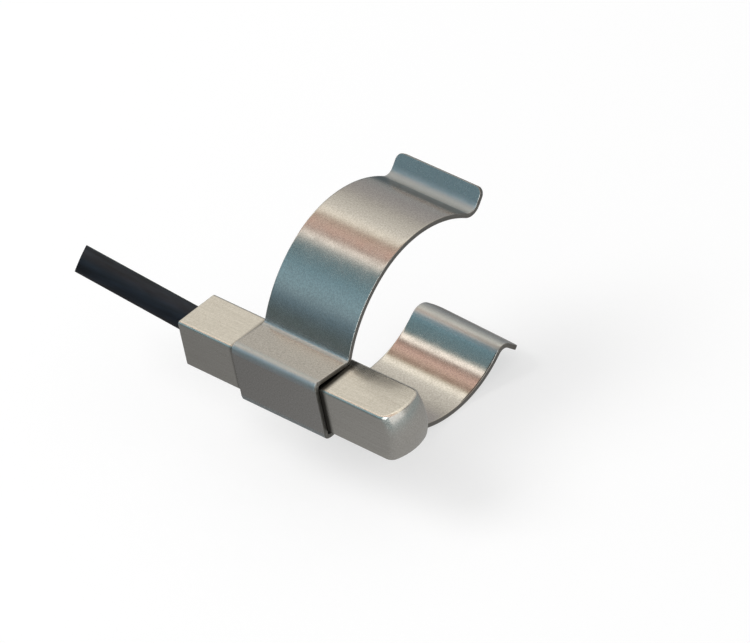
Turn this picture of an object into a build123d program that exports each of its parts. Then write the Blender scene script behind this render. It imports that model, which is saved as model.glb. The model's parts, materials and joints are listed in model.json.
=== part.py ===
from build123d import *
import os
from math import asin, atan2, cos, degrees, hypot, radians, sin, tan

# Clip-on temperature sensor for pipes, in millimetres.
# The origin is on the axis of the pipe that the clip grips, at the middle of the strip's width.
# +X runs along the pipe to the sleeve's closed end, +Y points out of the clip's mouth, +Z is up.

# Spring clip, one folded strip
strip_thickness = 0.6
strip_width = 14.0
pipe_radius = 13.0            # inside radius of the clip with nothing in it
grip_start_angle = 118.0      # the arms are round about the pipe's axis from here
grip_end_angle = 53.0         # to here, in degrees from +Y
shoulder_radius = 17.5        # next to the channel the arms are flatter, inside radius
shoulder_flat = 0.05          # straight between an arm's two arcs
crease_flat = 0.1146          # straight between the flatter arc and the crease
mouth_angle = 46.6            # the lips point straight out from the axis at this angle
lip_reach = 17.0              # from the axis to a lip's end
lip_corner_radius = 1.05
mouth_bend_radius = 1.2       # bend radii are those of the tight side
crease_bend_radius = 0.4
channel_bend_radius = 0.2
channel_lean = 4.0            # the channel's walls lean in by this, to nip the sleeve
sheared_edge_radius = 0.12

# Drawn sleeve, closed at +X
sleeve_height = 6.6
sleeve_depth = 6.4
sleeve_wall = 0.5
sleeve_length = 35.65
sleeve_tip_x = 18.9           # closed end, from the middle of the strip
sleeve_edge_radius = 0.4
sleeve_corner_radius = 1.2    # the closed end's upright edges
sleeve_dome_radius = 7.0      # the closed end bulges as part of a ball
rear_edge_break = 0.12

# Cable, a round jacket pressed round two cores
jacket_wall = 0.45
cable_reach = 20.2            # from the sleeve's rear to the middle of the cut end
cable_depth = 8.0             # inside the sleeve
cable_tilt = 4.5              # the cable leaves the sleeve this much upwards
cable_top_clearance = 0.2
cut_turn = 27.4               # the end is nipped off at a slant: turned about Z
cut_lean = 28.0               # and leaning back
core_wall = 0.285
core_tail = 4.2               # bare of jacket, inside the sleeve
strand_diameter = 0.2
strand_count = 6              # round a middle one
strand_squeeze = 0.01         # strands are pressed together by this
conductor_tail = 1.8          # bare of insulation

# Sensing element, a platinum film chip, and its leads
chip_length = 2.3
chip_width = 2.0
chip_thickness = 0.4
chip_tip_gap = 2.5            # from the chip to the inside of the closed end
film_thickness = 0.04
film_track = 0.14
film_turns = 5
film_margin = 0.2
film_pad_length = 0.4         # a contact for a lead
glass_thickness = 0.18
glass_length = 1.25
glaze_length = 0.9
glaze_height = 0.45
glaze_rounding = 0.27
lead_on_chip = 0.7
lead_diameter = 0.2
lead_spacing = 1.1
lead_bend_radius = 1.5
lead_straight = 2.0           # lead past the joint before it turns to the chip

# Joints, insulation and filling
joint_length = 1.9
joint_rounding = 0.25
joint_cover = 0.06            # solder over the conductor and the lead
joint_end_gap = 0.15          # bare conductor between insulation and solder
shrink_wall = 0.14
shrink_gap = 0.02             # between the two shrink sleeves
shrink_room = 0.025           # between a joint and its shrink sleeve
shrink_overlap = 1.5          # over the core's insulation
shrink_tail = 1.2             # past the joint
liner_thickness = 0.12
liner_rear_gap = 6.0          # from the sleeve's rear to the liner
filling_recess = 0.6          # the filling stops this far inside the sleeve's rear
filler_gap = 1.5              # from the shrink sleeves to the thermal filling
least_radius = 0.05           # inside corners are no sharper than this
tiny = 0.001                  # two places closer than this count as one

# Sizes that follow from those above
sleeve_back_y = -pipe_radius
sleeve_mid_y = sleeve_back_y - sleeve_depth / 2
sleeve_rear_x = sleeve_tip_x - sleeve_length
bore_tip_x = sleeve_tip_x - sleeve_wall
strand_ring = strand_diameter - strand_squeeze
conductor_radius = strand_ring + strand_diameter / 2
core_radius = conductor_radius + core_wall
lead_shift = conductor_radius + lead_diameter / 2      # a lead lies beside its conductor
joint_reach = lead_shift + lead_diameter / 2 + joint_cover
shrink_radius = joint_reach + shrink_room
core_spacing = 2 * (max(core_radius, shrink_radius) + shrink_wall) + shrink_gap
cable_radius = core_spacing / 2 + core_radius + jacket_wall
cutter_size = 10 * cable_radius                        # large enough to nip off the whole cable
cable_rise = sleeve_height / 2 - sleeve_wall - cable_top_clearance - cable_radius / cos(radians(cable_tilt))


def normal(angle):
    """Unit vector at an angle from the first axis, in the plane of the strip's section."""
    return Vector(cos(radians(angle)), sin(radians(angle)))


def meet(angle_1, distance_1, angle_2, distance_2):
    """Point where two lines meet, each given by its normal's angle and its distance from the axis."""
    gap = sin(radians(angle_2 - angle_1))
    return Vector(
        (distance_1 * sin(radians(angle_2)) - distance_2 * sin(radians(angle_1))) / gap,
        (distance_2 * cos(radians(angle_1)) - distance_1 * cos(radians(angle_2))) / gap,
    )


def strip_line():
    """Middle line of the folded strip, from the lower lip round the channel to the upper lip."""
    half = strip_thickness / 2
    arm_distance = pipe_radius + half
    along_arm = normal(grip_start_angle + 90)
    shoulder_centre = normal(grip_start_angle) * (pipe_radius - shoulder_radius) + along_arm * shoulder_flat
    crease_z = sleeve_height / 2 + crease_bend_radius + strip_thickness
    crease_turn = shoulder_radius + strip_thickness + crease_bend_radius
    drop = (crease_z - shoulder_centre.Y) / hypot(crease_turn, crease_flat)
    shoulder_angle = 180 - degrees(asin(drop) + atan2(crease_flat, crease_turn))
    shoulder_run = (shoulder_radius + half) * tan(radians(shoulder_angle - grip_start_angle) / 2)
    shoulder = normal(grip_start_angle) * arm_distance + along_arm * (shoulder_run + shoulder_flat)
    shoulder_distance = shoulder.dot(normal(shoulder_angle))
    crease_reach = shoulder_distance + half + crease_bend_radius
    crease_y = (crease_reach - crease_z * sin(radians(shoulder_angle))) / cos(radians(shoulder_angle))
    wall_angle = 90 - channel_lean
    wall_distance = Vector(crease_y, crease_z).dot(normal(wall_angle)) - crease_bend_radius - half
    upper = [
        meet(180, sleeve_depth + pipe_radius + half, wall_angle, wall_distance),
        meet(wall_angle, wall_distance, shoulder_angle, shoulder_distance),
        shoulder,
        meet(grip_start_angle, arm_distance, grip_end_angle, arm_distance),
        meet(grip_end_angle, arm_distance, mouth_angle + 90, 0),
        normal(mouth_angle) * lip_reach,
    ]
    lower = [Vector(p.X, -p.Y) for p in reversed(upper)]
    bends = [
        channel_bend_radius + half,
        crease_bend_radius + half,
        shoulder_radius + half,
        arm_distance,
        mouth_bend_radius + half,
    ]
    return Plane.YZ * FilletPolyline(*lower, *upper, radius=list(reversed(bends)) + bends)


def spring_clip():
    """Strip with sheared edges, folded into a channel for the sleeve and two arms with lead-in lips."""
    line = strip_line()
    start = Plane(origin=line @ 0, x_dir=(1, 0, 0), z_dir=line % 0)
    strip = sweep(start * RectangleRounded(strip_width, strip_thickness, sheared_edge_radius), path=line)
    outside = (Align.MAX, Align.MAX, Align.CENTER)
    corner = Box(lip_corner_radius, lip_corner_radius, 2 * strip_thickness, align=outside)
    corner -= Pos(-lip_corner_radius, -lip_corner_radius) * Cylinder(lip_corner_radius, 2 * strip_thickness)
    for end, outwards in ((line @ 0, line % 0 * -1), (line @ 1, line % 1)):
        for side in (Vector(1, 0, 0), Vector(-1, 0, 0)):
            lip = Plane(origin=end + side * (strip_width / 2), x_dir=side, z_dir=side.cross(outwards))
            strip -= lip * corner
    return strip


def closed_bar(inset):
    """Bar of the sleeve's form, inset all round, with a bulging end and rounded edges."""
    tip_x = sleeve_tip_x - inset
    length = tip_x - sleeve_rear_x
    depth = sleeve_depth - 2 * inset
    height = sleeve_height - 2 * inset
    start = (Align.MAX, Align.CENTER, Align.CENTER)
    bar = Pos(tip_x, sleeve_mid_y, 0) * Box(length, depth, height, align=start)
    ball_radius = sleeve_dome_radius - inset
    rod_start = (Align.CENTER, Align.CENTER, Align.MIN)
    rod = Rotation(0, -90, 0) * Cylinder(ball_radius, length, align=rod_start)
    bar &= Pos(tip_x - ball_radius, sleeve_mid_y, 0) * (Sphere(ball_radius) + rod)
    end = bar.faces().filter_by(GeomType.SPHERE)[0]
    upright = [e for e in end.edges() if abs((e @ 0).Y - (e @ 1).Y) < tiny]
    bar = fillet(upright, max(sleeve_corner_radius - inset, least_radius))
    sides = bar.faces().sort_by(Axis.Z)
    border = sides[0].edges() + sides[-1].edges()
    border = [e for e in border if e.center().X > sleeve_rear_x + tiny]
    return fillet(border, max(sleeve_edge_radius - inset, least_radius))


def sensor_sleeve():
    """Drawn square sleeve, open at the rear."""
    sleeve = closed_bar(0) - length_of_bore(sleeve_rear_x, sleeve_tip_x, 0)
    rim = sleeve.faces().sort_by(Axis.X)[0].outer_wire().edges()
    return fillet(rim, rear_edge_break)


def cable_frame():
    """Plane across the cable where it leaves the sleeve: X to the pipe, Y down, Z out along it."""
    direction = Vector(-cos(radians(cable_tilt)), 0, sin(radians(cable_tilt)))
    return Plane(origin=(sleeve_rear_x, sleeve_mid_y, cable_rise), x_dir=(0, 1, 0), z_dir=direction)


def cut_off(shape):
    """Nips a piece of the cable off at the slanted cut."""
    facing = Vector(
        -cos(radians(cut_lean)) * cos(radians(cut_turn)),
        -cos(radians(cut_lean)) * sin(radians(cut_turn)),
        sin(radians(cut_lean)),
    )
    middle = cable_frame().from_local_coords(Vector(0, 0, cable_reach))
    past_end = Plane(origin=middle, z_dir=facing) * Circle(cutter_size)
    return shape - extrude(past_end, cutter_size)


def along_cable(section, start, end):
    """A section of the cable's, from one distance along it to another; negative is inside the sleeve."""
    return extrude(cable_frame().offset(start) * section, end - start)


def core_place(side):
    """Place of a core across the cable: +1 the upper one, -1 the lower one."""
    return Pos(0, -side * core_spacing / 2)


past_cut = cable_reach + cutter_size / 2
core_end = -cable_depth - core_tail
conductor_end = core_end - conductor_tail
joint_start = core_end - joint_end_gap
joint_end = joint_start - joint_length
shrink_start = core_end + shrink_overlap
shrink_end = joint_end - shrink_tail


def cable_jacket():
    """Round jacket pressed round the two cores."""
    section = Circle(cable_radius)
    for side in (1, -1):
        section -= core_place(side) * Circle(core_radius)
    return cut_off(along_cable(section, -cable_depth, past_cut))


def core_insulation(side):
    """Insulation of one core."""
    section = Circle(core_radius) - Circle(conductor_radius)
    return cut_off(along_cable(core_place(side) * section, core_end, past_cut))


def strands():
    """Section of a conductor: strands round a middle one, pressed together."""
    section = Circle(strand_diameter / 2)
    for turn in PolarLocations(strand_ring, strand_count):
        section += turn * Circle(strand_diameter / 2)
    return section


def conductor(side):
    """Stranded conductor of one core, bare at its inner end."""
    return cut_off(along_cable(core_place(side) * strands(), conductor_end, past_cut))


chip_x = bore_tip_x - chip_tip_gap - chip_length / 2
chip_back_y = sleeve_back_y - sleeve_wall - liner_thickness
chip_face_y = chip_back_y - chip_thickness
film_face_y = chip_face_y - film_thickness


def on_chip(x, z, length, height, back_y, thickness):
    """Block that stands on a face of the chip, towards the middle of the sleeve."""
    return Pos(x, back_y, z) * Box(length, thickness, height, align=(Align.CENTER, Align.MAX, Align.CENTER))


def sensing_element():
    """Ceramic carrier of the sensing film."""
    return on_chip(chip_x, 0, chip_length, chip_width, chip_back_y, chip_thickness)


def glass_place():
    """Middle of the cover glass along X: it leaves the contacts free."""
    return chip_x + (chip_length - glass_length) / 2


def platinum_film():
    """Winding track of platinum on the carrier, with a contact for each lead."""
    run = glass_length - 2 * film_margin
    spread = chip_width - 2 * film_margin
    pitch = (spread - film_track) / (2 * film_turns - 1)
    middle = glass_place()
    film = []
    for i in range(2 * film_turns):
        z = -(spread - film_track) / 2 + i * pitch
        film.append(on_chip(middle, z, run, film_track, chip_face_y, film_thickness))
        if i < 2 * film_turns - 1:
            end = 1 if i % 2 == 0 else -1
            x = middle + end * (run - film_track) / 2
            film.append(on_chip(x, z + pitch / 2, film_track, pitch, chip_face_y, film_thickness))
    start = chip_x - chip_length / 2 + film_margin
    reach = middle - run / 2 - start
    for side in (1, -1):
        z = side * (spread - film_track) / 2
        film.append(on_chip(start + reach / 2, z, reach, film_track, chip_face_y, film_thickness))
        pad_z = side * lead_spacing / 2
        pad_x = start + film_pad_length / 2
        pad_height = abs(z - pad_z) + film_track
        film.append(on_chip(pad_x, (z + pad_z) / 2, film_pad_length, pad_height, chip_face_y, film_thickness))
    return film[0].fuse(*film[1:]).clean()


def cover_glass():
    """Glass fired over the film."""
    block = on_chip(
        glass_place(), 0, glass_length, chip_width, chip_face_y, film_thickness + glass_thickness
    )
    return block - platinum_film()


def lead_glaze():
    """Drop of glaze that fixes the leads to the carrier."""
    x = chip_x - chip_length / 2 + glaze_length / 2
    drop = on_chip(x, 0, glaze_length, chip_width, chip_face_y, glaze_height)
    rounded = drop.faces().sort_by(Axis.Y)[0].edges()
    drop = fillet(rounded, glaze_rounding)
    return drop - platinum_film() - element_lead(1) - element_lead(-1)


def lane_point(side, distance):
    """Point on a lead's straight stretch, beside a core's line."""
    place = Vector(lead_shift, -side * core_spacing / 2, distance)
    return cable_frame().from_local_coords(place)


def element_lead(side):
    """Wire from a solder joint to the chip, with two bends."""
    z = side * lead_spacing / 2
    y = film_face_y - lead_diameter / 2
    chip_start = chip_x - chip_length / 2
    points = [
        lane_point(side, joint_start - joint_end_gap),
        lane_point(side, shrink_end - lead_straight),
        Vector(chip_start - lead_straight, y, z),
        Vector(chip_start + lead_on_chip, y, z),
    ]
    path = FilletPolyline(*points, radius=lead_bend_radius)
    start = Plane(origin=path @ 0, z_dir=path % 0)
    return sweep(start * Circle(lead_diameter / 2), path=path)


def solder_joint(side):
    """Bead of solder round the end of a conductor and the lead beside it."""
    near = conductor_radius + joint_cover
    bead = Pos((joint_reach - near) / 2, 0) * Circle((joint_reach + near) / 2)
    body = along_cable(core_place(side) * bead, joint_end, joint_start)
    body = fillet(body.edges().filter_by(GeomType.CIRCLE), joint_rounding)
    return body - conductor(side) - element_lead(side)


def shrink_sleeve(side):
    """Shrunk tube that grips a core's insulation and widens or narrows to cover the joint."""
    steps = [(core_radius, shrink_start), (core_radius, core_end), (shrink_radius, joint_start)]
    steps.append((shrink_radius, shrink_end))
    inside = [Vector(radius, distance) for radius, distance in steps]
    outside = [Vector(radius + shrink_wall, distance) for radius, distance in reversed(steps)]
    profile = make_face(Polyline(*inside, *outside, close=True))
    tube = revolve(Plane.XZ * profile, Axis.Z)
    return cable_frame() * core_place(side) * tube


def length_of_bore(x_start, x_end, inset):
    """Stretch of the sleeve's bore, or of the space that far inside it."""
    start = (Align.MIN, Align.CENTER, Align.CENTER)
    stretch = Pos(x_start, sleeve_mid_y, 0) * Box(x_end - x_start, sleeve_depth, sleeve_height, align=start)
    return closed_bar(sleeve_wall + inset) & stretch


def insulating_liner():
    """Thin insulating cup between the sleeve and the live parts."""
    start = sleeve_rear_x + liner_rear_gap
    outside = length_of_bore(start, sleeve_tip_x, 0)
    return outside - length_of_bore(start, sleeve_tip_x, liner_thickness)


def filling(x_start, x_end, pieces):
    """Filling of the sleeve between two places along it, round the pieces given."""
    room = length_of_bore(x_start, x_end, 0)
    for piece in pieces:
        room -= piece
    return room


def main():
    """Builds each piece and writes it to a file of its own."""
    jacket = cable_jacket()
    liner = insulating_liner()
    chip = [sensing_element(), platinum_film(), cover_glass(), lead_glaze()]
    leads = [element_lead(1), element_lead(-1)]
    wrapped = []
    cores = []
    widest = max(core_radius, shrink_radius) + shrink_wall
    for side in (1, -1):
        wrapped.append(along_cable(core_place(side) * Circle(widest), shrink_end, shrink_start))
        cores.append(along_cable(core_place(side) * Circle(core_radius), core_end, 0))
    filler_x = lane_point(1, shrink_end).X + filler_gap
    potting = filling(sleeve_rear_x + filling_recess, filler_x, [liner, jacket, *cores, *wrapped, *leads])
    paste = filling(filler_x, bore_tip_x, [liner, *leads, *chip])
    parts = {
        "spring_clip": spring_clip(),
        "sensor_sleeve": sensor_sleeve(),
        "cable_jacket": jacket,
        "insulating_liner": liner,
        "potting_compound": potting,
        "thermal_filler": paste,
        "sensing_element": chip[0],
        "platinum_film": chip[1],
        "cover_glass": chip[2],
        "lead_glaze": chip[3],
    }
    for side, letter in ((1, "a"), (-1, "b")):
        parts["core_insulation_" + letter] = core_insulation(side)
        parts["conductor_" + letter] = conductor(side)
        parts["solder_joint_" + letter] = solder_joint(side)
        parts["shrink_sleeve_" + letter] = shrink_sleeve(side)
        parts["element_lead_" + letter] = leads[0 if side > 0 else 1]
    os.makedirs("parts", exist_ok=True)
    for name, shape in parts.items():
        export_step(shape, f"parts/{name}.step")
        print(name, shape.is_valid, round(shape.volume, 4))


main()
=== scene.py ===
import json
import logging
import math
from dataclasses import dataclass
from enum import Enum
from typing import Iterable, Sequence

import bpy
import numpy as np
from mathutils import Matrix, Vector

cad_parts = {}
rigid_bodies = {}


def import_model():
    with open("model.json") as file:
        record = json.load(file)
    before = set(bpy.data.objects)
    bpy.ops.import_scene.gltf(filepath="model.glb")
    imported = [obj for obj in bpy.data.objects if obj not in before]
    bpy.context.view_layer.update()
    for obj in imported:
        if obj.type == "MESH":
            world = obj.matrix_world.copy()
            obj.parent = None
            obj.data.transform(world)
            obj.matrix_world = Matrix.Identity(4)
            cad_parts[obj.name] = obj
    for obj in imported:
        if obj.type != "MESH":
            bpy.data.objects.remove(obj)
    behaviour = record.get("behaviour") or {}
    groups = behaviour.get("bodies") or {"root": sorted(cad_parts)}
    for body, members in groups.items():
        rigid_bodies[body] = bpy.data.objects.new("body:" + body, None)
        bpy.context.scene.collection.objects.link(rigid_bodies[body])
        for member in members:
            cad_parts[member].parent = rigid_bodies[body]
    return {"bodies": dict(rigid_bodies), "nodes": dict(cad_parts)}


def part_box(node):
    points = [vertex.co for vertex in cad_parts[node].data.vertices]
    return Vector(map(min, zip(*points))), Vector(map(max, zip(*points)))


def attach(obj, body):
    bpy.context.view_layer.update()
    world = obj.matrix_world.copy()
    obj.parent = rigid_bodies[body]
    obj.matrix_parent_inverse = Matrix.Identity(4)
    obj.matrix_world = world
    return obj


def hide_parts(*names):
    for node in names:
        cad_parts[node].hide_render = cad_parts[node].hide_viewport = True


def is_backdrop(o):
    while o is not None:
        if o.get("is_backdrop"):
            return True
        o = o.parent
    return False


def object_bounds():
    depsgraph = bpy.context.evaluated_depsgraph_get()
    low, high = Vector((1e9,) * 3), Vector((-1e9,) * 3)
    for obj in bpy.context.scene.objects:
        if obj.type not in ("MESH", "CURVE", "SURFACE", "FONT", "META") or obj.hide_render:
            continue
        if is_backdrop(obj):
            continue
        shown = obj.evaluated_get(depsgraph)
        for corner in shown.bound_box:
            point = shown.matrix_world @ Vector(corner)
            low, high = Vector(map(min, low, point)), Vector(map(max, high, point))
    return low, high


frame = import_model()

# A clip-on temperature sensor for pipes: a folded spring clip that holds a drawn sleeve, and its cable.
# Sizes are in millimetres until a mesh is written, because Blender and the frame are in metres.
MM = 0.001
LOG = logging.getLogger("sensor")
TEXTURE_MAP = "Surface"
# Where nearly all values of a noise lie.
NOISE_MIDDLE = {"From Min": 0.3, "From Max": 0.7}

Material = bpy.types.Material
Piece = bpy.types.Object
Socket = bpy.types.NodeSocket
Tree = bpy.types.NodeTree


class Side(Enum):
    """The two cores of the cable and all that belongs to them."""

    UPPER = "a"
    LOWER = "b"


def clear_defaults() -> None:
    """Removes what a new file holds besides the frame, such as its cube."""
    kept = {o.name for o in frame["nodes"].values()} | {o.name for o in frame["bodies"].values()}
    for obj in list(bpy.data.objects):
        if obj.name not in kept and obj.type in {"MESH", "LIGHT", "CAMERA"}:
            bpy.data.objects.remove(obj)


def linear(colour: str, strength: float = 1.0) -> tuple[float, float, float, float]:
    """Turns an sRGB hex colour into linear values.

    Args:
        colour: six hex digits after a hash sign.
        strength: factor on the linear values, for light.

    Returns:
        Linear red, green and blue, and an alpha of 1.
    """
    values = np.array([int(colour[i : i + 2], 16) for i in (1, 3, 5)]) / 255
    low, high = values / 12.92, ((values + 0.055) / 1.055) ** 2.4
    red, green, blue = np.where(values <= 0.04045, low, high) * strength
    return float(red), float(green), float(blue), 1.0


@dataclass
class Sheet:
    """A closed loop of points carried through many places: rows are places, columns go round the loop.

    Attributes:
        points: rows by columns by 3, in millimetres.
        lengthwise: distance of each row along the piece, for its texture map.
        around: distance of each column round the loop, for its texture map.
        marks: values at each point that the finish reads, by name.
    """

    points: np.ndarray
    lengthwise: np.ndarray
    around: np.ndarray
    marks: dict[str, np.ndarray]

    def side_faces(self) -> np.ndarray:
        """Four-sided faces between neighbouring rows, with the last column joined to the first.

        Returns:
            Faces as rows of corner numbers.
        """
        rows, columns = self.points.shape[:2]
        row = np.arange(rows - 1)[:, None] * columns
        column = np.arange(columns)[None, :]
        after = (column + 1) % columns
        corners = (row + column, row + after, row + columns + after, row + columns + column)
        return np.stack(np.broadcast_arrays(*corners), axis=-1).reshape(-1, 4)

    def end_faces(self, row: int) -> np.ndarray:
        """Faces that close one end: column j is paired with the column that mirrors it in the loop.

        Args:
            row: the row to close, 0 or the last.

        Returns:
            Faces across the end, whose corners run against those of the sides beside them.
        """
        columns = self.points.shape[1]
        first = row * columns
        near = np.arange(columns // 2 - 1)
        far = columns - 1 - near
        quads = first + np.stack([near, far, far - 1, near + 1], axis=-1)
        return quads if row == 0 else quads[:, ::-1]

    def texture_map(self, faces: np.ndarray) -> np.ndarray:
        """Place of each face corner in the texture map: metres along the piece, metres round it.

        A face across the loop's seam takes the places of its later column past the loop's end.

        Args:
            faces: faces as rows of corner numbers.

        Returns:
            One row of 2 for each corner of each face.
        """
        columns = self.points.shape[1]
        row, column = faces // columns, faces % columns
        u = self.lengthwise[row]
        v = self.around[column]
        loop = self.around[-1] + self.around[1] - self.around[0]
        wraps = np.ptp(v, axis=1, keepdims=True) > loop / 2
        v = np.where(wraps & (v < loop / 2), v + loop, v)
        return np.stack([u, v], axis=-1).reshape(-1, 2) * MM


def outward(points: np.ndarray, faces: np.ndarray) -> np.ndarray:
    """Turns all faces of a closed shell round if the volume that they enclose comes out negative.

    The volume is the sum over the two triangles of each face of the product of one corner with the
    cross product of the next two.

    Args:
        points: corners, rows of 3.
        faces: four-sided faces as rows of corner numbers.

    Returns:
        The faces, which point outwards.
    """
    a, b, c, d = (points[faces[:, i]] for i in range(4))
    volume = np.einsum("ij,ij->", a, np.cross(b, c)) + np.einsum("ij,ij->", a, np.cross(c, d))
    return faces if volume > 0 else faces[:, ::-1]


def grid_faces(rows: int, columns: int) -> np.ndarray:
    """Four-sided faces of an open grid of points, as rows of corner numbers."""
    first = (np.arange(rows - 1)[:, None] * columns + np.arange(columns - 1)[None, :]).ravel()
    return np.stack([first, first + 1, first + columns + 1, first + columns], axis=-1)


def mesh_object(
    name: str, points: np.ndarray, faces: np.ndarray, texture: np.ndarray | None = None
) -> Piece:
    """Writes a mesh into the scene, smooth all over.

    Args:
        name: name of the object and its mesh.
        points: corners, in millimetres.
        faces: four-sided faces as rows of corner numbers.
        texture: place of each face corner in the texture map, or None.

    Returns:
        The new object, at the origin, with its place in its mesh.
    """
    mesh = bpy.data.meshes.new(name)
    mesh.from_pydata((points.reshape(-1, 3) * MM).tolist(), [], faces.tolist())
    mesh.shade_smooth()
    if texture is not None:
        layer = mesh.uv_layers.new(name=TEXTURE_MAP)
        layer.data.foreach_set("uv", texture.astype(np.float32).ravel())
    obj = bpy.data.objects.new(name, mesh)
    bpy.context.scene.collection.objects.link(obj)
    return obj


def shell_object(name: str, sheet: Sheet) -> Piece:
    """Makes a closed shell of a sheet: its sides, and both its ends.

    Args:
        name: name of the object and its mesh.
        sheet: the surface and its marks.

    Returns:
        The new object.
    """
    rows = sheet.points.shape[0]
    faces = np.concatenate([sheet.side_faces(), sheet.end_faces(0), sheet.end_faces(rows - 1)])
    faces = outward(sheet.points.reshape(-1, 3), faces)
    shell = mesh_object(name, sheet.points, faces, sheet.texture_map(faces))
    for mark, values in sheet.marks.items():
        layer = shell.data.attributes.new(mark, "FLOAT", "POINT")
        layer.data.foreach_set("value", values.astype(np.float32).ravel())
    return shell


def rounded_loop(width: float, height: float, radius: float, counts: tuple[int, int, int]) -> np.ndarray:
    """Loop of a rounded rectangle.

    A quarter of the loop goes up half of one side, round a corner as a quarter circle and along half
    of the top. The other quarters mirror it. The loop starts at the middle of the left side, so that
    column j and the same column counted from the end mirror each other in height.

    Args:
        width: full width.
        height: full height.
        radius: corner radius.
        counts: steps along half a side, round a corner and along half the top.

    Returns:
        Columns by 2: the place across and the height.
    """
    up, turn, along = counts
    side = (np.arange(up) + 0.5) / up
    corner = np.arange(1, turn + 1) / (turn + 1) * math.pi / 2
    top = (np.arange(along) + 0.5) / along
    flat_w, flat_h = width / 2 - radius, height / 2 - radius
    x = np.concatenate([-width / 2 + 0 * side, -flat_w - radius * np.cos(corner), -flat_w * (1 - top)])
    y = np.concatenate([flat_h * side, flat_h + radius * np.sin(corner), height / 2 + 0 * top])
    upper = np.stack([np.concatenate([x, -x[::-1]]), np.concatenate([y, y[::-1]])], axis=-1)
    return np.concatenate([upper, upper[::-1] * (1, -1)])


def loop_distance(loop: np.ndarray) -> np.ndarray:
    """Distance of each point of a loop from its first, along the loop."""
    steps = np.linalg.norm(np.diff(loop, axis=0), axis=1)
    return np.concatenate([[0.0], np.cumsum(steps)])


@dataclass
class BentLine:
    """A flat line of straight runs joined by arcs that touch both.

    Along the line the heading is constant on a run and grows evenly on an arc, so the heading is
    interpolated between the ends of runs and arcs, and the line is the sum of its small steps.

    Attributes:
        corners: where the runs would meet, rows of 2.
        radii: radius of the arc at each inner corner.
        step: small step of the sum.
    """

    corners: np.ndarray
    radii: np.ndarray
    step: float = 0.01

    def __post_init__(self) -> None:
        """Works out the line in small steps."""
        runs = np.diff(self.corners, axis=0)
        heading = np.unwrap(np.arctan2(runs[:, 1], runs[:, 0]))
        turn = np.abs(np.diff(heading))
        tangent = np.concatenate([[0.0], self.radii * np.tan(turn / 2), [0.0]])
        straight = np.linalg.norm(runs, axis=1) - tangent[:-1] - tangent[1:]
        lengths = np.zeros(2 * len(straight) - 1)
        lengths[::2], lengths[1::2] = straight, self.radii * turn
        breaks = np.concatenate([[0.0], np.cumsum(lengths)])
        self.length = float(breaks[-1])
        self.along = np.linspace(0, self.length, int(self.length / self.step))
        self.heading = np.interp(self.along, breaks, np.repeat(heading, 2))
        middle = (self.heading[1:] + self.heading[:-1]) / 2
        steps = np.stack([np.cos(middle), np.sin(middle)], axis=-1) * np.diff(self.along)[:, None]
        self.line = self.corners[0] + np.concatenate([np.zeros((1, 2)), np.cumsum(steps, axis=0)])

    def stations(self, coarse: float, fine: float, sharpness: float) -> np.ndarray:
        """Distances along the line that are closer where it bends more and near its ends.

        The wanted spacing is a share of the bend's radius, between fine and coarse. The count of
        stations up to a place is the sum of one over the spacing, and that is read backwards.

        Args:
            coarse: widest spacing.
            fine: closest spacing.
            sharpness: spacing as a share of the bend's radius.

        Returns:
            The distances.
        """
        bend = np.abs(np.gradient(self.heading, self.along))
        spacing = np.clip(sharpness / np.maximum(bend, 1e-6), fine, coarse)
        end = np.minimum(self.along, self.length - self.along)
        spacing = np.minimum(spacing, fine + end / 4)
        count = np.concatenate([[0.0], np.cumsum(np.diff(self.along) / spacing[1:])])
        return np.interp(np.linspace(0, count[-1], int(count[-1]) + 1), count, self.along)

    def at(self, distance: np.ndarray) -> tuple[np.ndarray, np.ndarray]:
        """Points and left-hand normals at distances along the line.

        Args:
            distance: distances along the line.

        Returns:
            Rows of 2 for the points, and the same for the normals.
        """
        point = np.stack([np.interp(distance, self.along, self.line[:, i]) for i in (0, 1)], axis=-1)
        heading = np.interp(distance, self.along, self.heading)
        return point, np.stack([-np.sin(heading), np.cos(heading)], axis=-1)


def direction(angle: float) -> np.ndarray:
    """Unit vector at an angle in degrees: its cosine and its sine."""
    return np.array([math.cos(math.radians(angle)), math.sin(math.radians(angle))])


def meet(angle_1: float, distance_1: float, angle_2: float, distance_2: float) -> np.ndarray:
    """Point where two lines meet, each given by its normal's angle in degrees and its distance from 0."""
    normals = np.stack([direction(angle_1), direction(angle_2)])
    return np.linalg.solve(normals, np.array([distance_1, distance_2]))


def ease(value: np.ndarray) -> np.ndarray:
    """Smooth step from 0 to 1: three squares less two cubes."""
    held = np.clip(value, 0, 1)
    return held * held * (3 - 2 * held)


def round_off(distance: np.ndarray, radius: float) -> np.ndarray:
    """How far a rounded end stands in, at a distance from the end: a quarter circle of that radius."""
    inside = np.clip(radius - distance, 0, radius)
    return radius - np.sqrt(radius**2 - inside**2)


@dataclass(frozen=True)
class Arm:
    """What differs between the two arms of the clip.

    Attributes:
        mouth: angle at which the lip points out, in degrees from the mouth's middle.
        reach: from the pipe's axis to the lip's end.
        twist: how much further the arm stands out for each millimetre towards the closed end.
    """

    mouth: float
    reach: float
    twist: float


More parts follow.
